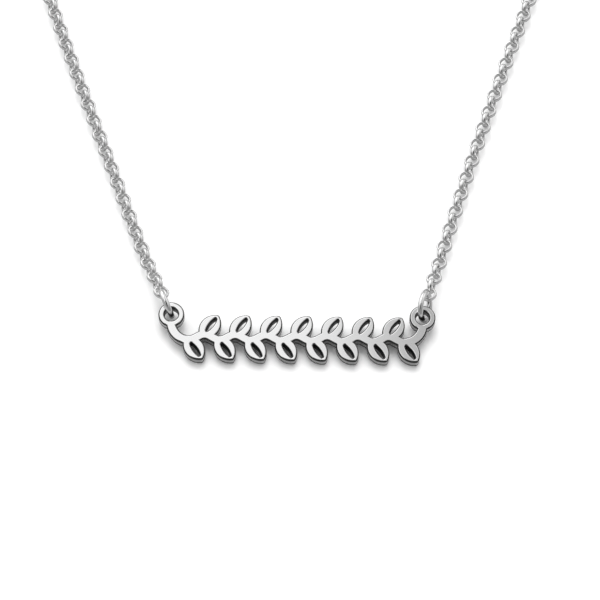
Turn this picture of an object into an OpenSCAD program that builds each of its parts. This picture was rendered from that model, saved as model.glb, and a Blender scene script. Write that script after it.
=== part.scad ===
// Nameplate necklace in polished sterling silver, laid open on a flat surface.
// Millimetres. The surface is z = 0, the plate is at the front (-Y), the clasp at the back.

/* [Nameplate] */
// Distance between the centres of the two eyelets
eyelet_spacing = 31; // [26:0.5:36]
// Outer diameter of an eyelet
eyelet_d = 3.2; // [3.1:0.05:3.5]
// Bore of an eyelet
eyelet_bore = 1.7; // [1.6:0.05:1.9]
// Height of the leafy band, from the eyelets' centres down to the leaf tips
band_h = 5.9; // [5.6:0.1:6.6]
// Thickness of the silver sheet that the plate is cut from
plate_t = 1.4; // [1:0.1:1.6]

/* [Vine] */
// Number of full waves in the stem
wave_count = 7; // [6:1:8]
// Width of the stem
stem_w = 1.2; // [0.9:0.05:1.3]
// Height of the stem's waves above and below its middle line
stem_rise = 0.35; // [0.2:0.05:0.5]
// Length of a leaf
leaf_l = 3.7; // [3.4:0.1:4]
// Width of a leaf at its widest
leaf_w = 2.5; // [2:0.05:2.6]
// Radius of a leaf's round tips
leaf_tip_r = 0.3; // [0.15:0.05:0.4]
// Slant of a leaf away from the line of the band, in degrees
leaf_slant = 55; // [48:1:65]
// Step from a wave's top to the middle of its leaf, along the band
leaf_lead = 0.6; // [0.4:0.05:0.8]
// Length of the pierced vein in a leaf
vein_l = 2; // [1.4:0.1:2.2]
// Width of the pierced vein
vein_w = 0.55; // [0.4:0.05:0.7]
// Radius of a vein's round ends
vein_tip_r = 0.12; // [0.08:0.01:0.18]
// Step of the vein from the leaf's middle towards its tip
vein_step = 0.3; // [0.1:0.05:0.4]

/* [Jump rings] */
// Outer diameter of a jump ring
jump_d = 4; // [3.6:0.1:4]
// Wire of a jump ring
jump_wire = 0.7; // [0.5:0.05:0.7]
// Heading of the left ring and strand, in degrees outwards from straight back
left_heading = 23; // [16:0.5:26]
// Heading of the right ring and strand, in degrees outwards from straight back
right_heading = 15.5; // [10:0.5:20]
// Lean of the left ring's top outwards, in degrees from upright
left_lean = 9; // [0:1:14]
// Lean of the right ring's top inwards, in degrees from upright
right_lean = 16; // [8:1:20]
// Distance by which the chain draws a ring's middle outwards from the middle of the eyelet's rim
ring_pull = 0.35; // [0:0.05:0.4]

/* [Chain] */
// Outer diameter of a round link, and so of the plain tube that stands for a strand of links
link_d = 2; // [1.8:0.05:2.3]

/* [Clasp] */
// Outer diameter of the spring ring
clasp_d = 6; // [5.4:0.1:7]
// Tube of the spring ring
clasp_wire = 1.2; // [1:0.05:1.2]
// Bore of the small loop that is soldered to the spring ring
loop_bore = 1.4; // [1.3:0.05:1.8]
// Wire of the small loop
loop_wire = 0.6; // [0.5:0.05:0.7]
// Length of the thumb nub, past the tube
nub_l = 0.9; // [0.5:0.1:1.4]
// Diameter of the thumb nub
nub_d = 0.7; // [0.5:0.05:0.9]
// Place of the nub round the spring ring, in degrees from the closing side
nub_turn = 60; // [40:5:110]

/* [Layout] */
// Distance of the band's lower edge in front of the origin
front_reach = 93; // [90:0.5:96]
// Distance of the clasp's middle behind the origin
back_reach = 89.6; // [88:0.2:92]
// Gap kept between pieces that hang in one another
piece_gap = 0.06; // [0.04:0.01:0.08]

/* [Hidden] */

// Number of sides that a circle is drawn with
$fn = 64;
// Length by which a cut runs past a face
cut_over = 0.5;

function unit(v) = v / norm(v);

// Middle radius of a jump ring's wire, and the radius of its open inside
jump_mid_r = (jump_d - jump_wire) / 2;
jump_in_r = jump_d / 2 - jump_wire;

// Eyelet rim: its width, and the distance from the bore's axis to its middle
rim_w = (eyelet_d - eyelet_bore) / 2;
rim_mid = (eyelet_d + eyelet_bore) / 4;
// Height that the rim stands at, on the curved wire that runs under it
rim_seat = jump_wire + 3 * piece_gap + jump_in_r - sqrt(pow(jump_in_r, 2) - pow(rim_w / 2 + ring_pull, 2));
// Tilt of the plate: leaf tips on the surface, eyelets up on the jump rings
plate_tilt = asin(rim_seat / (band_h + rim_mid * cos(left_heading)));
// Height of the middle of the two bores
bore_mid_z = band_h * sin(plate_tilt) + plate_t / 2 * cos(plate_tilt);

// Vine: the stem hangs from the two eyelets in quarter turns, with waves between them
stem_line = -band_h / 2;
turn_r = -stem_line + stem_rise - eyelet_d / 2 + stem_w / 2;
vine_half = eyelet_spacing / 2 - turn_r;
wave_l = 2 * vine_half / wave_count;
// Points on the stem's middle line for each wave, and for each quarter turn
wave_steps = 20;
turn_steps = 12;
stem_middles = concat(
    [for (k = [0 : turn_steps - 1])
        let (a = 180 + 90 * k / turn_steps)
        [turn_r * cos(a) - vine_half, turn_r * (sin(a) + 1) + stem_line - stem_rise]],
    [for (k = [0 : wave_steps * wave_count])
        [wave_l * k / wave_steps - vine_half, stem_line - stem_rise * cos(360 * k / wave_steps)]],
    [for (k = [1 : turn_steps])
        let (a = 270 + 90 * k / turn_steps)
        [turn_r * cos(a) + vine_half, turn_r * (sin(a) + 1) + stem_line - stem_rise]]);

// Distance of a leaf's middle from the edge of the band that its tip reaches
leaf_depth = (leaf_l / 2 - leaf_tip_r) * sin(leaf_slant) + leaf_tip_r;

// Height at which the chain leaves a ring, drawn tight on the middle of its wire
hook_z = jump_d / 2;
tube_sides = 8;
// Rings swept for each leg of the route
rings_per_leg = 5;

// Clasp: it lies on the wires of the two rings that hang in it
clasp_mid_r = (clasp_d - clasp_wire) / 2;
clasp_z = jump_wire + piece_gap + clasp_wire / 2;
loop_mid_r = (loop_bore + loop_wire) / 2;
// The loop's wire is soldered into the tube by three quarters of the tube's radius
loop_x = -clasp_mid_r - clasp_wire * 3 / 8 - loop_mid_r;
// Middle of the ring in the loop, drawn outwards until its wire is free in the bore
clasp_ring_x = loop_x - jump_d / 2 + loop_bore / 2 - 2 * piece_gap;
end_ring_x = clasp_mid_r;
// Shift that puts the middle of the clasp and its two rings at x = 0
clasp_x = -(clasp_ring_x + end_ring_x) / 2;

// Place of the eyelets' axis on the surface, and of the jump rings' middles
eyelet_y = -front_reach + band_h * cos(plate_tilt);
function heading_dir(angle) = [sin(angle), cos(angle)];
left_dir = heading_dir(-left_heading);
right_dir = heading_dir(right_heading);
// A leaning ring's middle is moved sideways, so that its wire passes through the bore's middle
function ring_z(lean) = jump_mid_r * cos(lean) + jump_wire / 2;
function ring_place(eyelet_x, dir, lean) =
    [eyelet_x, eyelet_y] + (rim_mid + ring_pull) * dir
    + tan(lean) * (ring_z(lean) - bore_mid_z) * [dir.y, -dir.x];
left_ring_xy = ring_place(-eyelet_spacing / 2, left_dir, -left_lean);
right_ring_xy = ring_place(eyelet_spacing / 2, right_dir, -right_lean);

// Route of each strand over the surface, chosen by hand between its two end rings
left_points = [[-24.4, -64], [-33.25, -39], [-42.5, -10], [-50, 17], [-52.5, 42], [-45.5, 66], [-27.5, 84]];
right_points = [[22.25, -63], [30.2, -38], [39.8, -10], [49, 17], [52.5, 42], [45.5, 66], [27.5, 84]];
chain_start = jump_d / 2 + 2 * piece_gap;
left_route = concat(
    [left_ring_xy + chain_start * left_dir],
    left_points,
    [[clasp_x + clasp_ring_x - chain_start, back_reach]]);
right_route = concat(
    [right_ring_xy + chain_start * right_dir],
    right_points,
    [[clasp_x + end_ring_x + chain_start, back_reach]]);

// Heading of a route at one of its points; the two ends take the given headings
function route_dir(route, i, start_dir, end_dir) =
    i == 0 ? start_dir :
    i == len(route) - 1 ? end_dir :
    unit(route[i + 1] - route[i - 1]);
// Point at share t of a leg that leaves a along u and reaches b along v
function leg_point(a, b, u, v, t) =
    let (size = norm(b - a))
    (1 + 2 * t) * pow(1 - t, 2) * a
    + t * pow(1 - t, 2) * size * u
    + pow(t, 2) * (3 - 2 * t) * b
    - pow(t, 2) * (1 - t) * size * v;
function route_point(route, start_dir, end_dir, i, t) =
    leg_point(route[i], route[i + 1], route_dir(route, i, start_dir, end_dir),
              route_dir(route, i + 1, start_dir, end_dir), t);
// Middles of the tube's rings, raised at both ends to the wires that carry them
function ring_middles(route, start_dir, end_dir) =
    let (flat = concat(
        [for (i = [0 : len(route) - 2]) for (k = [0 : rings_per_leg - 1])
            route_point(route, start_dir, end_dir, i, k / rings_per_leg)],
        [route[len(route) - 1]]))
    [for (i = [0 : len(flat) - 1])
        [flat[i].x, flat[i].y, i == 0 || i == len(flat) - 1 ? hook_z : link_d / 2]];

// Closed tube with flat sides below and above, swept through the given middles
module swept_tube(middles, start_dir, end_dir) {
    last = len(middles) - 1;
    corner_r = link_d / 2 / cos(180 / tube_sides);
    points = [for (i = [0 : last])
        let (before = middles[max(i - 1, 0)],
             after = middles[min(i + 1, last)],
             dir = i == 0 ? start_dir : i == last ? end_dir : unit([after.x - before.x, after.y - before.y]))
        for (k = [0 : tube_sides - 1])
            let (a = (k + 0.5) * 360 / tube_sides)
            [middles[i].x + corner_r * cos(a) * dir.y,
             middles[i].y - corner_r * cos(a) * dir.x,
             middles[i].z + corner_r * sin(a)]];
    sides = [for (i = [0 : last - 1]) for (k = [0 : tube_sides - 1])
        let (next = (k + 1) % tube_sides)
        [i * tube_sides + k, (i + 1) * tube_sides + k, (i + 1) * tube_sides + next, i * tube_sides + next]];
    first_end = [for (k = [0 : tube_sides - 1]) k];
    last_end = [for (k = [tube_sides - 1 : -1 : 0]) last * tube_sides + k];
    polyhedron(points = points, faces = concat(sides, [first_end], [last_end]));
}

// Wire ring that stands on its edge, with its middle over a place on the surface
module standing_ring(place, heading, lean) {
    translate([place.x, place.y, ring_z(lean)])
        rotate([0, 0, -heading])
            rotate([0, lean, 0])
                rotate([0, 90, 0])
                    rotate_extrude()
                        translate([jump_mid_r, 0])
                            circle(d = jump_wire);
}

// Slim lens along the x axis: two side arcs that touch a round tip at each end
module lens_outline(length, width, tip_r) {
    tip_mid = length / 2 - tip_r;
    side_r = (pow(tip_mid, 2) + pow(width / 2, 2) - pow(tip_r, 2)) / (width - 2 * tip_r);
    side_mid = side_r - width / 2;
    tip_cut = tip_mid * side_r / (side_r - tip_r);
    intersection() {
        translate([0, side_mid])
            circle(r = side_r);
        translate([0, -side_mid])
            circle(r = side_r);
        square([2 * tip_cut, length], center = true);
    }
    for (side = [-1, 1])
        translate([side * tip_mid, 0])
            circle(r = tip_r);
}

// Places every leaf: side 1 for the upper row on the wave tops, -1 for the lower row
module at_leaves() {
    for (side = [-1, 1])
        for (i = [0 : side == 1 ? wave_count - 1 : wave_count])
            translate([-vine_half + (i + (side == 1 ? 0.5 : 0)) * wave_l + leaf_lead,
                       side == 1 ? -leaf_depth : leaf_depth - band_h])
                rotate(side * leaf_slant)
                    children();
}

// Waved stem that climbs to an eyelet at each end
module stem_outline() {
    last = len(stem_middles) - 1;
    offsets = [for (i = [0 : last])
        let (dir = i == 0 ? [0, -1] : i == last ? [0, 1] : unit(stem_middles[i + 1] - stem_middles[i - 1]))
        stem_w / 2 * [-dir.y, dir.x]];
    polygon(concat(
        [for (i = [0 : last]) stem_middles[i] + offsets[i]],
        [for (i = [last : -1 : 0]) stem_middles[i] - offsets[i]]));
}

module at_eyelets() {
    for (side = [-1, 1])
        translate([side * eyelet_spacing / 2, 0])
            children();
}

// Stem, leaves and eyelets in one sheet, pierced by the veins and the two bores
module flat_plate() {
    difference() {
        union() {
            linear_extrude(height = plate_t)
                stem_outline();
            at_leaves()
                linear_extrude(height = plate_t)
                    lens_outline(leaf_l, leaf_w, leaf_tip_r);
            at_eyelets()
                cylinder(d = eyelet_d, h = plate_t);
        }
        translate([0, 0, -cut_over]) {
            at_leaves()
                translate([vein_step, 0, 0])
                    linear_extrude(height = plate_t + 2 * cut_over)
                        lens_outline(vein_l, vein_w, vein_tip_r);
            at_eyelets()
                cylinder(d = eyelet_bore, h = plate_t + 2 * cut_over);
        }
    }
}

module nameplate() {
    color("silver")
        translate([0, eyelet_y, band_h * sin(plate_tilt)])
            rotate([plate_tilt, 0, 0])
                flat_plate();
}

module jump_ring_left() {
    color("silver")
        standing_ring(left_ring_xy, -left_heading, -left_lean);
}

module jump_ring_right() {
    color("silver")
        standing_ring(right_ring_xy, right_heading, -right_lean);
}

module chain_left() {
    color("gainsboro")
        swept_tube(ring_middles(left_route, left_dir, [1, 0]), left_dir, [1, 0]);
}

module chain_right() {
    color("gainsboro")
        swept_tube(ring_middles(right_route, right_dir, [-1, 0]), right_dir, [-1, 0]);
}

// Spring ring, its soldered loop and its thumb nub
module spring_clasp() {
    color("silver")
        translate([clasp_x, back_reach, clasp_z]) {
            rotate_extrude()
                translate([clasp_mid_r, 0])
                    circle(d = clasp_wire);
            translate([loop_x, 0, 0])
                rotate_extrude()
                    translate([loop_mid_r, 0])
                        circle(d = loop_wire);
            rotate([0, 0, nub_turn])
                translate([clasp_mid_r, 0, 0])
                    rotate([0, 90, 0])
                        cylinder(d = nub_d, h = clasp_wire / 2 + nub_l);
        }
}

module clasp_jump_ring() {
    color("silver")
        standing_ring([clasp_x + clasp_ring_x, back_reach], 90, 0);
}

module end_ring() {
    color("silver")
        standing_ring([clasp_x + end_ring_x, back_reach], 90, 0);
}

nameplate();
jump_ring_left();
jump_ring_right();
chain_left();
chain_right();
spring_clasp();
clasp_jump_ring();
end_ring();
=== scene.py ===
# %% [markdown]
# # A nameplate necklace in polished sterling silver
# The necklace lies open on a white surface. A small pierced plate hangs from two jump rings,
# and a fine rolo chain runs from them round to a spring ring clasp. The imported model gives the
# size and the place of every piece. This script gives each piece its finish, and models what
# the plain solids only stand for: the links of the chain and the soft edges of the plate.

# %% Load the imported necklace
import math
import random

import bmesh
import bpy
from mathutils import Matrix, Vector


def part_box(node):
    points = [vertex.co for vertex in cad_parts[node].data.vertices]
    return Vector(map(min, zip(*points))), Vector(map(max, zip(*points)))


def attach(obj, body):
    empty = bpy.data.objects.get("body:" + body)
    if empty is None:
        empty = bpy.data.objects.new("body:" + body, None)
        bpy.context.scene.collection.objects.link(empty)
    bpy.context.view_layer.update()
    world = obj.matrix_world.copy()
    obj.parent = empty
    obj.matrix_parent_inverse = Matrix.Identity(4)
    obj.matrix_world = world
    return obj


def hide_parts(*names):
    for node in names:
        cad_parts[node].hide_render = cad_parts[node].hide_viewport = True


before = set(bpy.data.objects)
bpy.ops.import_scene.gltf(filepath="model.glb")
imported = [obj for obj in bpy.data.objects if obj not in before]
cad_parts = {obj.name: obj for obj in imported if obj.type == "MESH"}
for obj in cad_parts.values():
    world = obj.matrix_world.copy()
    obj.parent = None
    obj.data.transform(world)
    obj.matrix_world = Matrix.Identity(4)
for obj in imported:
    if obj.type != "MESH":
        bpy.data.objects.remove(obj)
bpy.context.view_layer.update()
MM = 0.001
BODY = "root"
print("pieces:", ", ".join(sorted(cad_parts)))

# %% [markdown]
# ## Camera
# The photograph was taken from straight in front, looking down at 60 degrees, with a long lens.
# A long lens keeps the two strands nearly parallel in scale. The camera's axes are written
# out from three angles, so that they can be read and changed one at a time.

# %% Camera
CAMERA_ELEVATION = math.radians(60)
CAMERA_ROLL = math.radians(0.78)
CAMERA_DISTANCE = 343.4 * MM
CAMERA_TARGET = Vector((0.35, -83.81, 0)) * MM
LENS = 165.2
SENSOR = 36.0
CLIP_START = 10 * MM


def add_camera():
    toward = Vector((0, -math.cos(CAMERA_ELEVATION), math.sin(CAMERA_ELEVATION)))
    right = Vector((1, 0, 0))
    up = toward.cross(right)
    rolled_right = right * math.cos(CAMERA_ROLL) + up * math.sin(CAMERA_ROLL)
    rolled_up = toward.cross(rolled_right)
    data = bpy.data.cameras.new("camera")
    data.lens = LENS
    data.sensor_width = SENSOR
    data.clip_start = CLIP_START
    camera = bpy.data.objects.new("camera", data)
    axes = Matrix((rolled_right, rolled_up, toward)).transposed()
    place = Matrix.Translation(CAMERA_TARGET + toward * CAMERA_DISTANCE)
    camera.matrix_world = place @ axes.to_4x4()
    bpy.context.scene.collection.objects.link(camera)
    bpy.context.scene.camera = camera
    return camera


camera = add_camera()
print("camera at", [round(v, 3) for v in camera.location])

# %% [markdown]
# ## Helpers for meshes
# Every new piece is built in a bmesh and becomes an object at the origin, with its place in
# its mesh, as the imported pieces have. The helper merges what meets, turns the normals outwards
# and fastens the piece to the necklace's one body.

# %% Helpers for meshes
MERGE = 1e-7


def finish_piece(bm, name, slot, *replaced):
    bmesh.ops.remove_doubles(bm, verts=bm.verts[:], dist=MERGE)
    bmesh.ops.recalc_face_normals(bm, faces=bm.faces[:])
    for face in bm.faces:
        face.smooth = True
    mesh = bpy.data.meshes.new(name)
    bm.to_mesh(mesh)
    bm.free()
    piece = bpy.data.objects.new(name, mesh)
    bpy.context.scene.collection.objects.link(piece)
    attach(piece, BODY)
    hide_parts(*replaced)
    print(f"{name}: {len(mesh.polygons)} faces")
    return piece


def packed_copy(node):
    """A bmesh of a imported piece, with its loose triangles merged."""
    bm = bmesh.new()
    bm.from_mesh(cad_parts[node].data)
    bmesh.ops.remove_doubles(bm, verts=bm.verts[:], dist=MERGE)
    return bm


def middle_of(node):
    low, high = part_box(node)
    return (Vector(low) + Vector(high)) / 2


# %% [markdown]
# ## The plate
# The plate is sawn from a flat sheet and pierced with a running vine. Its outline and its veins
# are already right in the imported solid, but its corners are knife sharp, and real silver has been
# tumbled and polished until the corners are round. That round corner draws the bright rim and the
# black line along every edge. So a copy of the imported mesh is merged, its flat triangles are
# joined, and the corner between each flat face and the wall is bevelled. The two flat faces have
# many holes, which a bevel can leave badly joined, so they are lifted off and filled afresh
# between the new rims. The walls of the holes are marked for a finish of their own: dull silver
# that no polishing wheel reaches, painted far darker as painted shade inside the holes.

# %% The plate
EDGE_ROUND = 0.2 * MM
EDGE_STEPS = 5
SHORTEST_EDGE = 0.01 * MM
FLAT_ANGLE = math.radians(0.5)
FLAT = math.cos(FLAT_ANGLE)
FACE_SLOPE = math.cos(math.radians(20))
STEEP = 0.5
FACE_SLOT, WALL_SLOT, BACK_SLOT, HOLE_SLOT = 0, 1, 2, 3


def plate_up():
    """The direction that the plate's upper face looks in."""
    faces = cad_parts["nameplate"].data.polygons
    return max(faces, key=lambda face: face.area * (face.normal.z > 0)).normal.copy()


def is_corner(edge, up):
    """True where a flat face meets the wall."""
    slopes = sorted(abs(face.normal.dot(up)) for face in edge.link_faces)
    return len(slopes) == 2 and slopes[0] < STEEP < slopes[1]


def mark_holes(bm):
    """Mark the walls that can't be reached from the plate's left end: those of the holes."""
    for face in bm.faces:
        face.material_index = HOLE_SLOT
    reached = {min(bm.verts, key=lambda vert: vert.co.x)}
    fresh = set(reached)
    while fresh:
        for vert in fresh:
            for face in vert.link_faces:
                face.material_index = WALL_SLOT
        fresh = {edge.other_vert(vert) for vert in fresh for edge in vert.link_edges} - reached
        reached |= fresh


def refill_flat_faces(bm, up):
    """Lift the two flat faces off and fill them afresh between their rims."""
    flats = [face for face in bm.faces if abs(face.normal.dot(up)) > FLAT]
    bmesh.ops.delete(bm, geom=flats, context="FACES")
    bmesh.ops.delete(bm, geom=[edge for edge in bm.edges if not edge.link_faces], context="EDGES")
    mark_holes(bm)
    rims = [edge for edge in bm.edges if edge.is_boundary]
    heights = [edge.verts[0].co.dot(up) for edge in rims]
    middle = (min(heights) + max(heights)) / 2
    for normal in (up, -up):
        upper = normal == up
        rim = [edge for edge, height in zip(rims, heights) if (height > middle) == upper]
        bmesh.ops.triangle_fill(bm, use_beauty=True, use_dissolve=False, edges=rim, normal=normal)


def make_plate():
    up = plate_up()
    bm = packed_copy("nameplate")
    bmesh.ops.dissolve_limit(bm, angle_limit=FLAT_ANGLE, verts=bm.verts[:], edges=bm.edges[:])
    bmesh.ops.remove_doubles(bm, verts=bm.verts[:], dist=SHORTEST_EDGE)
    corners = [edge for edge in bm.edges if is_corner(edge, up)]
    bmesh.ops.bevel(bm, geom=corners, offset=EDGE_ROUND, offset_type="OFFSET",
                    segments=EDGE_STEPS, profile=0.5, affect="EDGES",
                    clamp_overlap=False, loop_slide=False, material=-1)
    refill_flat_faces(bm, up)
    print("open edges left on the plate:", sum(len(edge.link_faces) != 2 for edge in bm.edges))
    plate = finish_piece(bm, "silver_plate", "plate", "nameplate")
    for face in plate.data.polygons:
        slope = face.normal.dot(up)
        face.use_smooth = abs(slope) < FLAT
        if slope > FACE_SLOPE:
            face.material_index = FACE_SLOT
        # The back face takes the darker back material, painted shade under the plate
        elif slope < -FLAT:
            face.material_index = BACK_SLOT
    return plate


plate = make_plate()
print("plate tilt in degrees:", round(math.degrees(plate_up().angle(Vector((0, 0, 1)))), 2))

# %% [markdown]
# ## Jump rings
# A jump ring is a turn of round wire, cut from a coil and closed so that its two ends butt.
# The joint shows as a hairline. Spinning a circle almost all the way round leaves that gap,
# and a small bevel softens the two cut ends. The four rings differ only in where they stand.

# %% Jump rings
JUMP_MIDDLE_R = 1.65 * MM
JUMP_WIRE_R = 0.35 * MM
JOINT_ANGLE = math.radians(1.2)
CUT_ROUND = 0.03 * MM
RING_STEPS, RING_SIDES = 72, 24
LEFT_HEADING, RIGHT_HEADING = math.radians(-23), math.radians(15.5)
LEFT_LEAN, RIGHT_LEAN = math.radians(-9), math.radians(-16)
QUARTER = math.pi / 2


def wire_ring(middle_r, wire_r, steps, sides, joint=0.0, width_share=1.0):
    """A ring of wire round the z axis, closed, or with a butt joint at the x axis."""
    bm = bmesh.new()
    bmesh.ops.create_circle(bm, segments=sides, radius=wire_r)
    bmesh.ops.scale(bm, vec=(1, width_share, 1), verts=bm.verts[:])
    stand = Matrix.Rotation(joint / 2, 4, "Z") @ Matrix.Translation((middle_r, 0, 0))
    bmesh.ops.transform(bm, matrix=stand @ Matrix.Rotation(QUARTER, 4, "X"), verts=bm.verts[:])
    bmesh.ops.spin(bm, geom=bm.verts[:] + bm.edges[:], cent=(0, 0, 0), axis=(0, 0, 1),
                   dvec=(0, 0, 0), angle=2 * math.pi - joint, steps=steps, use_merge=not joint)
    if joint:
        rims = [edge for edge in bm.edges if edge.is_boundary]
        bmesh.ops.holes_fill(bm, edges=rims, sides=sides)
        bmesh.ops.recalc_face_normals(bm, faces=bm.faces[:])
        bmesh.ops.bevel(bm, geom=rims, offset=CUT_ROUND, offset_type="OFFSET", segments=2,
                        profile=0.5, affect="EDGES", clamp_overlap=True, material=-1)
    return bm


def make_jump_ring(node, heading, lean, joint_place):
    bm = wire_ring(JUMP_MIDDLE_R, JUMP_WIRE_R, RING_STEPS, RING_SIDES, joint=JOINT_ANGLE)
    turn = (Matrix.Rotation(-heading, 4, "Z") @ Matrix.Rotation(lean + QUARTER, 4, "Y")
            @ Matrix.Rotation(joint_place, 4, "Z"))
    place = Matrix.Translation(middle_of(node)) @ turn
    bmesh.ops.transform(bm, matrix=place, verts=bm.verts[:])
    return finish_piece(bm, "wire_" + node, "rings", node)


rings = [
    make_jump_ring("jump_ring_left", LEFT_HEADING, LEFT_LEAN, math.radians(60)),
    make_jump_ring("jump_ring_right", RIGHT_HEADING, RIGHT_LEAN, math.radians(65)),
    make_jump_ring("clasp_jump_ring", QUARTER, 0, math.radians(110)),
    make_jump_ring("end_ring", QUARTER, 0, math.radians(-115)),
]

# %% [markdown]
# ## The chain
# A rolo chain is a row of equal round links, each turned a quarter turn from the next. On a
# surface every other link lies nearly flat, and the ones between stand nearly upright. The
# wire is a flattened band, wider than it is thick. One link is spun from a six-sided band and
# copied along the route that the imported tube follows. The points of the route are the tube's
# own, in metres, and the same curve joins them. At both ends the chain climbs to the ring that
# it hangs on. No link may cut its neighbour, so the pitch leaves some play inside each link.

# %% The chain's route
LEFT_POINTS = [(-0.0244, -0.064), (-0.03325, -0.039), (-0.0425, -0.01), (-0.05, 0.017),
               (-0.0525, 0.042), (-0.0455, 0.066), (-0.0275, 0.084)]
RIGHT_POINTS = [(0.02225, -0.063), (0.0302, -0.038), (0.0398, -0.01), (0.049, 0.017),
                (0.0525, 0.042), (0.0455, 0.066), (0.0275, 0.084)]
LINK_MIDDLE_R = 0.85 * MM
LINK_WIRE_R = 0.135 * MM
LINK_BAND_R = 0.3 * MM
LINK_PLAY = 0.09 * MM
LINK_PITCH = 2 * (LINK_MIDDLE_R - LINK_WIRE_R) - LINK_PLAY
LEG_STEPS = 40
# Slant of the links that lie nearly flat, and how far a link may roll away from its slant
LEFT_SLANT, RIGHT_SLANT = math.radians(20), math.radians(-14)
WANDER = math.radians(3)
# An end link hangs on the middle of its ring's wire, drawn outwards by the play in the link
HOOK_HEIGHT = JUMP_MIDDLE_R + JUMP_WIRE_R
HOOK_PLAY = 0.12 * MM
RISE_LENGTH = 6 * MM


def heading_dir(heading):
    return Vector((math.sin(heading), math.cos(heading)))


def leg_point(a, b, u, v, t):
    """Point at share t of a leg that leaves a along u and reaches b along v."""
    size = (b - a).length
    return ((1 + 2 * t) * (1 - t) ** 2 * a + t * (1 - t) ** 2 * size * u
            + t ** 2 * (3 - 2 * t) * b - t ** 2 * (1 - t) * size * v)


def smooth_route(points, start_dir, end_dir):
    """Closely spaced points along the smooth curve through the given ones."""
    between = [(after - before).normalized() for before, after in zip(points, points[2:])]
    dirs = [start_dir] + between + [end_dir]
    route = [leg_point(points[i], points[i + 1], dirs[i], dirs[i + 1], k / LEG_STEPS)
             for i in range(len(points) - 1) for k in range(LEG_STEPS)]
    return route + [points[-1]]


def hang_point(node, out_dir):
    """Middle of the link that hangs on a ring, seen from above."""
    return middle_of(node).to_2d() + (JUMP_MIDDLE_R + HOOK_PLAY) * out_dir


def distances(points):
    """How far along a row of points each of them lies."""
    reach = [0.0]
    for before, after in zip(points, points[1:]):
        reach.append(reach[-1] + (after - before).length)
    return reach


def strand_height(slant):
    """Height of the links' middles when the nearly upright links touch the surface."""
    wire_reach = math.hypot(LINK_WIRE_R * math.cos(slant), LINK_BAND_R * math.sin(slant))
    return LINK_MIDDLE_R * math.cos(abs(slant) - WANDER) + wire_reach


def raise_ends(flat, low):
    """The route in space: low over the surface, and climbing at both ends to the rings."""
    reach = distances(flat)
    shares = [max(0.0, 1 - min(d, reach[-1] - d) / RISE_LENGTH) for d in reach]
    rises = [share ** 2 * (3 - 2 * share) for share in shares]
    climb = HOOK_HEIGHT - low
    return [Vector((p.x, p.y, low + climb * rise)) for p, rise in zip(flat, rises)]


def spread_along(points, count):
    """Equally spaced places along a row of points, the first and last at its ends."""
    reach = distances(points)
    places, k = [], 1
    for i in range(count):
        distance = reach[-1] * i / (count - 1)
        while k < len(reach) - 1 and reach[k] < distance:
            k += 1
        share = (distance - reach[k - 1]) / (reach[k] - reach[k - 1])
        places.append(points[k - 1].lerp(points[k], share))
    return places


def strand_route(plate_ring, plate_out, points, back_ring, back_out, slant):
    """The route of a whole strand, from the ring at the plate to the ring at the clasp."""
    flat = ([hang_point(plate_ring, plate_out)] + [Vector(p) for p in points]
            + [hang_point(back_ring, back_out)])
    return raise_ends(smooth_route(flat, plate_out, -back_out), strand_height(slant))


left_route = strand_route("jump_ring_left", heading_dir(LEFT_HEADING), LEFT_POINTS,
                          "clasp_jump_ring", Vector((-1, 0)), LEFT_SLANT)
right_route = strand_route("jump_ring_right", heading_dir(RIGHT_HEADING), RIGHT_POINTS,
                           "end_ring", Vector((1, 0)), RIGHT_SLANT)
for side, route in (("left", left_route), ("right", right_route)):
    print(side, "strand in mm:", round(distances(route)[-1] / MM, 1))

# %% The links
# The number of links is odd, so both end links lie nearly flat across the rings' wires
LINK_STEPS = 16
LINK_SIDES = 6


def link_turns(count, slant, seed):
    """How far each link is turned about the chain: nearly flat and nearly upright in turn."""
    draw = random.Random(seed)
    turns = []
    for i in range(count):
        lean = slant + draw.uniform(-WANDER, WANDER)
        turns.append(lean if i % 2 == 0 else lean - QUARTER)
    return turns


def link_mesh():
    corner_r = LINK_WIRE_R / math.cos(math.pi / LINK_SIDES)
    bm = wire_ring(LINK_MIDDLE_R, corner_r, LINK_STEPS, LINK_SIDES,
                   width_share=LINK_BAND_R / corner_r)
    bmesh.ops.remove_doubles(bm, verts=bm.verts[:], dist=MERGE)
    link = bpy.data.meshes.new("one link")
    bm.to_mesh(link)
    bm.free()
    return link


def make_chain(name, node, route, slack, slant, seed):
    pairs = math.ceil(distances(route)[-1] / (LINK_PITCH - slack) / 2)
    count = 2 * pairs + 1
    middles = spread_along(route, count)
    turns = link_turns(count, slant, seed)
    link = link_mesh()
    bm = bmesh.new()
    for i, middle in enumerate(middles):
        along = (middles[min(i + 1, count - 1)] - middles[max(i - 1, 0)]).normalized()
        side = Vector((0, 0, 1)).cross(along).normalized()
        axes = Matrix((along, side, along.cross(side))).transposed().to_4x4()
        place = Matrix.Translation(middle) @ (axes @ Matrix.Rotation(turns[i], 4, "X"))
        before = len(bm.verts)
        bm.from_mesh(link)
        bm.verts.ensure_lookup_table()
        bmesh.ops.transform(bm, matrix=place, verts=bm.verts[before:])
    bpy.data.meshes.remove(link)
    print(f"{name}: {count} links, pitch {(middles[1] - middles[0]).length / MM:.3f} mm")
    return finish_piece(bm, name, "chain", node)


# The left strand lies a little looser than the right one
chains = [
    make_chain("rolo_chain_left", "chain_left", left_route,
               slack=0.06 * MM, slant=LEFT_SLANT, seed=11),
    make_chain("rolo_chain_right", "chain_right", right_route,
               slack=0, slant=RIGHT_SLANT, seed=23),
]

# %% [markdown]
# ## The clasp
# A spring ring is a bent tube with a small loop soldered to it and a nub for the thumb. Where
# the pieces are soldered, the metal flows into a small fillet. Boolean joints would leave hard
# creases there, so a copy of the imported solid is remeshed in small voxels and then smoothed,
# which rounds the creases and the nub's end as solder and polishing do.

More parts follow.
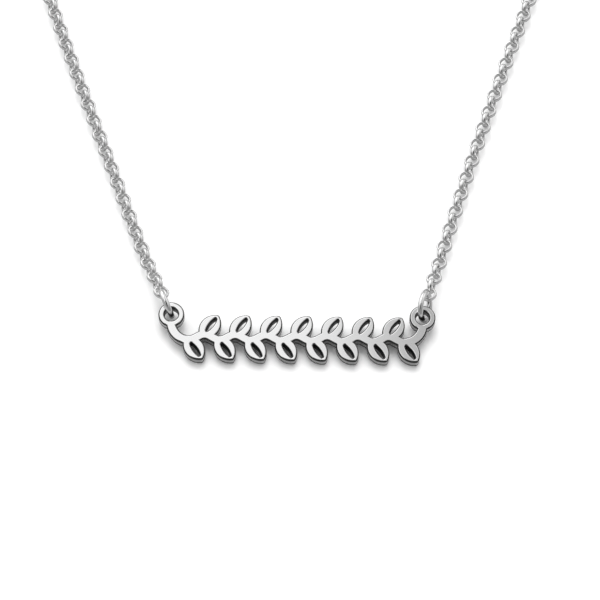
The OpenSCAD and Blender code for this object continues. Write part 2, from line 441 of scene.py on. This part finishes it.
# %% The clasp
CLASP_VOXEL = 0.07 * MM
CLASP_SMOOTHING = 12
SMOOTHING_SHARE = 0.5


def make_clasp():
    rough = packed_copy("spring_clasp")
    mesh = bpy.data.meshes.new("rough clasp")
    rough.to_mesh(mesh)
    rough.free()
    source = bpy.data.objects.new("rough clasp", mesh)
    bpy.context.scene.collection.objects.link(source)
    voxels = source.modifiers.new("voxels", "REMESH")
    voxels.mode = "VOXEL"
    voxels.voxel_size = CLASP_VOXEL
    flow = source.modifiers.new("solder flow", "SMOOTH")
    flow.factor = SMOOTHING_SHARE
    flow.iterations = CLASP_SMOOTHING
    bm = bmesh.new()
    bm.from_object(source, bpy.context.evaluated_depsgraph_get())
    bpy.data.objects.remove(source)
    bpy.data.meshes.remove(mesh)
    return finish_piece(bm, "spring_ring_clasp", "clasp", "spring_clasp")


clasp = make_clasp()

# %% [markdown]
# ## Silver
# Polished sterling silver is nearly a mirror. What tells it from chrome is a warm-neutral white
# and a faint haze: hairlines from the polishing wheel, and a bloom of tiny pits that softens the
# reflection here and there. The haze is one node group, used by every silver material with its
# own values. It reads Object coordinates, so it stays put on each piece.

# %% The polish group
BLOOM_SCALE, BLOOM_DETAIL = 380, 3
HAIRLINE_TURN = (0.1, 0.2, 0.5)
HAIRLINE_SCALE, HAIRLINE_DETAIL = (900, 9000, 6000), 2


def add_node(tree, kind, x, y, **values):
    node = tree.nodes.new(kind)
    node.location = (x, y)
    for key, value in values.items():
        setattr(node, key, value)
    return node


def math_node(tree, operation, x, y, first, second):
    node = add_node(tree, "ShaderNodeMath", x, y, operation=operation)
    for socket, value in zip(node.inputs, (first, second)):
        if isinstance(value, (int, float)):
            socket.default_value = value
        else:
            tree.links.new(value, socket)
    return node.outputs[0]


def make_polish_group():
    group = bpy.data.node_groups.new("hand polish", "ShaderNodeTree")
    for name, default in (("Roughness", 0.08), ("Haze", 0.05), ("Hairlines", 0.2)):
        socket = group.interface.new_socket(name, in_out="INPUT", socket_type="NodeSocketFloat")
        socket.default_value = default
    group.interface.new_socket("Roughness", in_out="OUTPUT", socket_type="NodeSocketFloat")
    group.interface.new_socket("Height", in_out="OUTPUT", socket_type="NodeSocketFloat")
    group.interface.new_socket("Bloom", in_out="OUTPUT", socket_type="NodeSocketFloat")
    inputs = add_node(group, "NodeGroupInput", -900, 0)
    outputs = add_node(group, "NodeGroupOutput", 500, 0)
    coords = add_node(group, "ShaderNodeTexCoord", -1100, -200)
    bloom = add_node(group, "ShaderNodeTexNoise", -700, -150)
    bloom.inputs["Scale"].default_value = BLOOM_SCALE
    bloom.inputs["Detail"].default_value = BLOOM_DETAIL
    stretch = add_node(group, "ShaderNodeMapping", -900, -400)
    stretch.inputs["Rotation"].default_value = HAIRLINE_TURN
    stretch.inputs["Scale"].default_value = HAIRLINE_SCALE
    lines = add_node(group, "ShaderNodeTexNoise", -700, -400)
    lines.inputs["Scale"].default_value = 1
    lines.inputs["Detail"].default_value = HAIRLINE_DETAIL
    group.links.new(coords.outputs["Object"], bloom.inputs["Vector"])
    group.links.new(coords.outputs["Object"], stretch.inputs["Vector"])
    group.links.new(stretch.outputs[0], lines.inputs["Vector"])
    given = inputs.outputs
    haze = math_node(group, "MULTIPLY", -400, -100, bloom.outputs[0], given["Haze"])
    rough = math_node(group, "ADD", 0, 100, haze, given["Roughness"])
    height = math_node(group, "MULTIPLY", -400, -400, lines.outputs[0], given["Hairlines"])
    group.links.new(rough, outputs.inputs["Roughness"])
    group.links.new(height, outputs.inputs["Height"])
    group.links.new(bloom.outputs[0], outputs.inputs["Bloom"])
    return group


polish_group = make_polish_group()
print("shader group:", polish_group.name)


# %% [markdown]
# The wall of the plate is cut. Along both rims of the wall a dark line is painted into its colour:
# painted reflection of the dark front at the face's rim, and painted shade where the plate nears
# the surface at the back's rim. A second group measures how far a point lies from the nearer rim,
# along the direction in which the sheet is thick.

# %% The rim group
# The dark fades out over this span, as shares of a rim's own width
RIM_FADE_START, RIM_FADE_END = 0.7, 1.3


def make_rim_shade_group():
    group = bpy.data.node_groups.new("painted rim shade", "ShaderNodeTree")
    group.interface.new_socket("Up", in_out="INPUT", socket_type="NodeSocketVector")
    for name in ("Back", "Face", "Back Rim", "Face Rim"):
        group.interface.new_socket(name, in_out="INPUT", socket_type="NodeSocketFloat")
    group.interface.new_socket("Mask", in_out="OUTPUT", socket_type="NodeSocketFloat")
    inputs = add_node(group, "NodeGroupInput", -900, 0)
    outputs = add_node(group, "NodeGroupOutput", 500, 0)
    coords = add_node(group, "ShaderNodeTexCoord", -900, -300)
    height = add_node(group, "ShaderNodeVectorMath", -700, -100, operation="DOT_PRODUCT")
    group.links.new(coords.outputs["Object"], height.inputs[0])
    group.links.new(inputs.outputs["Up"], height.inputs[1])
    shares = []
    for side, y in (("Face", 100), ("Back", -200)):
        ends = (inputs.outputs[side], height.outputs["Value"])
        depth = math_node(group, "SUBTRACT", -500, y, *(ends if side == "Face" else ends[::-1]))
        shares.append(math_node(group, "DIVIDE", -300, y, depth, inputs.outputs[side + " Rim"]))
    nearer = math_node(group, "MINIMUM", -100, 0, *shares)
    mask = add_node(group, "ShaderNodeMapRange", 200, 0, interpolation_type="SMOOTHSTEP")
    mask.inputs["From Min"].default_value = RIM_FADE_START
    mask.inputs["From Max"].default_value = RIM_FADE_END
    mask.inputs["To Min"].default_value = 1
    mask.inputs["To Max"].default_value = 0
    group.links.new(nearer, mask.inputs["Value"])
    group.links.new(mask.outputs[0], outputs.inputs["Mask"])
    return group


rim_shade_group = make_rim_shade_group()
print("shader group:", rim_shade_group.name)
# Colour of the painted lines along the wall's rims: painted reflection and painted shade
PAINTED_RIM_DARK = 0.03
FACE_RIM = 0.25 * MM
BACK_RIM = 0.45 * MM


def paint_rim_shade(material, up):
    """Paint a dark line into the material's colour along both rims of the wall: painted reflection
    and painted shade.
    """
    heights = [vert.co.dot(up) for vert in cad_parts["nameplate"].data.vertices]
    tree = material.node_tree
    shader = next(node for node in tree.nodes if node.type == "BSDF_PRINCIPLED")
    bright = shader.inputs["Base Color"].links[0].from_socket
    group = add_node(tree, "ShaderNodeGroup", -500, 500, node_tree=rim_shade_group)
    group.inputs["Up"].default_value = up
    group.inputs["Back"].default_value = min(heights)
    group.inputs["Face"].default_value = max(heights)
    group.inputs["Back Rim"].default_value = BACK_RIM
    group.inputs["Face Rim"].default_value = FACE_RIM
    dark = add_node(tree, "ShaderNodeMix", 100, 400, data_type="RGBA")
    dark.inputs["B"].default_value = (PAINTED_RIM_DARK, PAINTED_RIM_DARK, PAINTED_RIM_DARK, 1)
    bare = add_node(tree, "ShaderNodeMath", 100, 600, operation="SUBTRACT")
    bare.inputs[0].default_value = 1
    tree.links.new(group.outputs["Mask"], bare.inputs[1])
    tree.links.new(group.outputs["Mask"], dark.inputs["Factor"])
    tree.links.new(bright, dark.inputs["A"])
    tree.links.new(bare.outputs[0], shader.inputs["Metallic"])
    tree.links.new(dark.outputs["Result"], shader.inputs["Base Color"])
    shader.inputs["Specular IOR Level"].default_value = 0


# %% Silver materials
RELIEF_DEPTH = 0.02 * MM


def make_silver(name, bright, dull, roughness, haze, hairlines, bump):
    material = bpy.data.materials.new(name)
    material.use_nodes = True
    tree = material.node_tree
    tree.nodes.clear()
    out = add_node(tree, "ShaderNodeOutputMaterial", 700, 0)
    shader = add_node(tree, "ShaderNodeBsdfPrincipled", 350, 0)
    shader.inputs["Metallic"].default_value = 1.0
    group = add_node(tree, "ShaderNodeGroup", -500, 0, node_tree=polish_group)
    group.inputs["Roughness"].default_value = roughness
    group.inputs["Haze"].default_value = haze
    group.inputs["Hairlines"].default_value = hairlines
    tint = add_node(tree, "ShaderNodeMix", -100, 200, data_type="RGBA")
    tint.inputs["A"].default_value = (bright, bright, bright, 1)
    tint.inputs["B"].default_value = (dull, dull, dull, 1)
    relief = add_node(tree, "ShaderNodeBump", -100, -250)
    relief.inputs["Strength"].default_value = bump
    relief.inputs["Distance"].default_value = RELIEF_DEPTH
    tree.links.new(group.outputs["Bloom"], tint.inputs["Factor"])
    tree.links.new(tint.outputs["Result"], shader.inputs["Base Color"])
    tree.links.new(group.outputs["Roughness"], shader.inputs["Roughness"])
    tree.links.new(group.outputs["Height"], relief.inputs["Height"])
    tree.links.new(relief.outputs["Normal"], shader.inputs["Normal"])
    tree.links.new(shader.outputs["BSDF"], out.inputs["Surface"])
    return material


plate_silver = make_silver("polished plate silver", bright=0.96, dull=0.93,
                           roughness=0.05, haze=0.06, hairlines=0.3, bump=0.1)
wall_silver = make_silver("sawn wall silver", bright=0.98, dull=0.9,
                          roughness=0.22, haze=0.15, hairlines=1.0, bump=0.5)
# Painted shade: the back face is dull silver painted darker for the shade under the plate
back_silver_and_shade = make_silver("unpolished back silver and painted shade", bright=0.42, dull=0.22,
                          roughness=0.25, haze=0.2, hairlines=1.0, bump=0.5)
# Painted shade: the holes' walls are dull unpolished silver, painted far darker for the shade
# inside the holes
hole_silver_and_shade = make_silver("unpolished silver and painted shade in the holes", bright=0.16, dull=0.06,
                          roughness=0.25, haze=0.15, hairlines=1.0, bump=0.5)
wire_silver = make_silver("polished wire silver", bright=0.96, dull=0.9,
                          roughness=0.03, haze=0.06, hairlines=0.3, bump=0.1)
link_silver = make_silver("tumbled link silver", bright=0.97, dull=0.86,
                          roughness=0.03, haze=0.05, hairlines=0.3, bump=0.1)
clasp_silver = make_silver("polished tube silver", bright=0.95, dull=0.88,
                           roughness=0.05, haze=0.08, hairlines=0.3, bump=0.2)
# The wall's rims get painted dark lines: painted reflection at the face, painted shade at the back
paint_rim_shade(wall_silver, plate_up())
# The order follows FACE_SLOT, WALL_SLOT, BACK_SLOT and HOLE_SLOT
for material in (plate_silver, wall_silver, back_silver_and_shade, hole_silver_and_shade):
    plate.data.materials.append(material)
clasp.data.materials.append(clasp_silver)
for ring in rings:
    ring.data.materials.append(wire_silver)
for chain in chains:
    chain.data.materials.append(link_silver)
print("finishes:", ", ".join(sorted(material.name for material in bpy.data.materials)))

# %% [markdown]
# ## Surface and light
# The surface is plain matt white. Silver shows only what it reflects, so the light is made for
# the reflections. A white tent stands round the piece, and a lamp behind it makes its back the
# brightest part. Low in front the tent is open to a grey room. The camera's lens looks in there,
# and is mirrored as a round dark patch that draws the black lines on rounded edges and wires.
# At the right a grey card hangs before a shaded side, so the flat plate grades from white to
# grey. Two wide suns, from above and from the back, make the soft shadows. They are hidden from
# the reflections, because the tent is what the silver should mirror.

# %% Floor
FLOOR_HALF = 1.5
FLOOR_SEEN = 0.9
# The surface's colour where the silver mirrors it, painted greyer as painted shade
FLOOR_MIRRORED = 0.35


def make_floor_white():
    """Matt white, painted greyer where the silver mirrors it: painted shade for a table lit less
    beside a lit tent.
    """
    material = bpy.data.materials.new("matt white")
    material.use_nodes = True
    tree = material.node_tree
    shader = tree.nodes["Principled BSDF"]
    shader.inputs["Roughness"].default_value = 1.0
    shader.inputs["Specular IOR Level"].default_value = 0.0
    path = add_node(tree, "ShaderNodeLightPath", -600, 0)
    tint = add_node(tree, "ShaderNodeMix", -300, 0, data_type="RGBA")
    tint.inputs["A"].default_value = (FLOOR_SEEN, FLOOR_SEEN, FLOOR_SEEN, 1)
    tint.inputs["B"].default_value = (FLOOR_MIRRORED, FLOOR_MIRRORED, FLOOR_MIRRORED, 1)
    tree.links.new(path.outputs["Is Glossy Ray"], tint.inputs["Factor"])
    tree.links.new(tint.outputs["Result"], shader.inputs["Base Color"])
    return material


def add_floor():
    bm = bmesh.new()
    bmesh.ops.create_grid(bm, x_segments=1, y_segments=1, size=FLOOR_HALF)
    mesh = bpy.data.meshes.new("floor")
    bm.to_mesh(mesh)
    bm.free()
    floor = bpy.data.objects.new("floor", mesh)
    bpy.context.scene.collection.objects.link(floor)
    mesh.materials.append(make_floor_white())
    return floor


add_floor()
print("surface in m:", 2 * FLOOR_HALF, "square")


# %% Tent
TENT_WHITE = 0.94
CARD_GREY = 0.28
SIDE_GREY = 0.66
HORIZON_GREY = 0.7
BACK_GLOW = 1.4
PATCH_INNER, PATCH_OUTER = math.radians(20), math.radians(28)
ROOM_GREY = 0.26
LENS_DARK = 0.01
# Where each part of the tent fades in, as the share that its direction has of the way there
FRONT_FADE, LOW_FADE = (0.2, -0.2), (0.75, 0.5)
CARD_FADE, SIDE_FADE = (-0.012, 0.075), (0.12, 0.4)
HORIZON_FADE, BACK_FADE = (0.0, 0.35), (0.26, 0.5)
LENS_FADE = (math.cos(PATCH_OUTER), math.cos(PATCH_INNER))


def smooth_step(tree, value, fade, x, y, low=0.0, high=1.0):
    """A value that goes smoothly from low to high while the given one crosses the fade."""
    step = add_node(tree, "ShaderNodeMapRange", x, y, interpolation_type="SMOOTHSTEP")
    step.inputs["From Min"].default_value, step.inputs["From Max"].default_value = fade
    step.inputs["To Min"].default_value = low
    step.inputs["To Max"].default_value = high
    tree.links.new(value, step.inputs["Value"])
    return step.outputs[0]


def make_tent():
    world = bpy.data.worlds.new("tent")
    bpy.context.scene.world = world
    world.use_nodes = True
    tree = world.node_tree
    tree.nodes.clear()
    out = add_node(tree, "ShaderNodeOutputWorld", 1300, 0)
    background = add_node(tree, "ShaderNodeBackground", 1100, 0)
    background.inputs["Color"].default_value = (1, 1, 1, 1)
    coords = add_node(tree, "ShaderNodeTexCoord", -900, 0)
    split = add_node(tree, "ShaderNodeSeparateXYZ", -700, 0)
    tree.links.new(coords.outputs["Generated"], split.inputs[0])
    east, north, height = split.outputs
    # The tent is open in front and low down, and the room is seen there
    front = smooth_step(tree, north, FRONT_FADE, -400, 300)
    low = smooth_step(tree, height, LOW_FADE, -400, 100)
    opening = math_node(tree, "MULTIPLY", 0, 200, front, low)
    # The dark lens and its stand fill a round patch of it
    toward = add_node(tree, "ShaderNodeVectorMath", -600, 500, operation="DOT_PRODUCT")
    lens_direction = (0, -math.cos(CAMERA_ELEVATION), math.sin(CAMERA_ELEVATION))
    toward.inputs[1].default_value = lens_direction
    tree.links.new(coords.outputs["Generated"], toward.inputs[0])
    lens = smooth_step(tree, toward.outputs["Value"], LENS_FADE, -400, 500)
    # A grey card begins right of the middle, and ends where the tent's shaded right side begins
    near = smooth_step(tree, east, CARD_FADE, -400, -300, TENT_WHITE, CARD_GREY)
    far = smooth_step(tree, east, SIDE_FADE, -400, -700, CARD_GREY, SIDE_GREY)
    card = math_node(tree, "MAXIMUM", -200, -500, near, far)
    horizon = smooth_step(tree, height, HORIZON_FADE, -400, -500, HORIZON_GREY, 1.0)
    # The lamp shines through the tent's back
    glow = smooth_step(tree, north, BACK_FADE, -200, -700, 1.0, BACK_GLOW)
    lit = math_node(tree, "MULTIPLY", 0, -500, horizon, glow)
    white = math_node(tree, "MULTIPLY", 150, -300, card, lit)
    room = add_node(tree, "ShaderNodeMix", 300, 0, data_type="FLOAT")
    tree.links.new(opening, room.inputs["Factor"])
    tree.links.new(white, room.inputs["A"])
    room.inputs["B"].default_value = ROOM_GREY
    mix = add_node(tree, "ShaderNodeMix", 600, 0, data_type="FLOAT")
    tree.links.new(lens, mix.inputs["Factor"])
    tree.links.new(room.outputs["Result"], mix.inputs["A"])
    mix.inputs["B"].default_value = LENS_DARK
    tree.links.new(mix.outputs["Result"], background.inputs["Strength"])
    tree.links.new(background.outputs[0], out.inputs[0])
    return world


print("world:", make_tent().name)

# %% Soft light on the surface
DOME_POWER = 1.35
DOME_SPREAD = math.radians(150)
BACK_POWER = 1.35
BACK_SPREAD = math.radians(40)
BACK_TILT = math.radians(-32)


def add_soft_sun(name, power, spread, tilt):
    """A wide, even light that the reflections don't show."""
    data = bpy.data.lights.new(name, "SUN")
    data.energy = power
    data.angle = spread
    sun = bpy.data.objects.new(name, data)
    sun.rotation_euler = (tilt, 0, 0)
    sun.visible_glossy = False
    bpy.context.scene.collection.objects.link(sun)
    return sun


suns = [
    add_soft_sun("dome of light", DOME_POWER, DOME_SPREAD, 0),
    add_soft_sun("light from the back", BACK_POWER, BACK_SPREAD, BACK_TILT),
]
print("suns:", ", ".join(sun.name for sun in suns))

# %% Look
scene = bpy.context.scene
scene.view_settings.view_transform = "Standard"
scene.view_settings.look = "None"
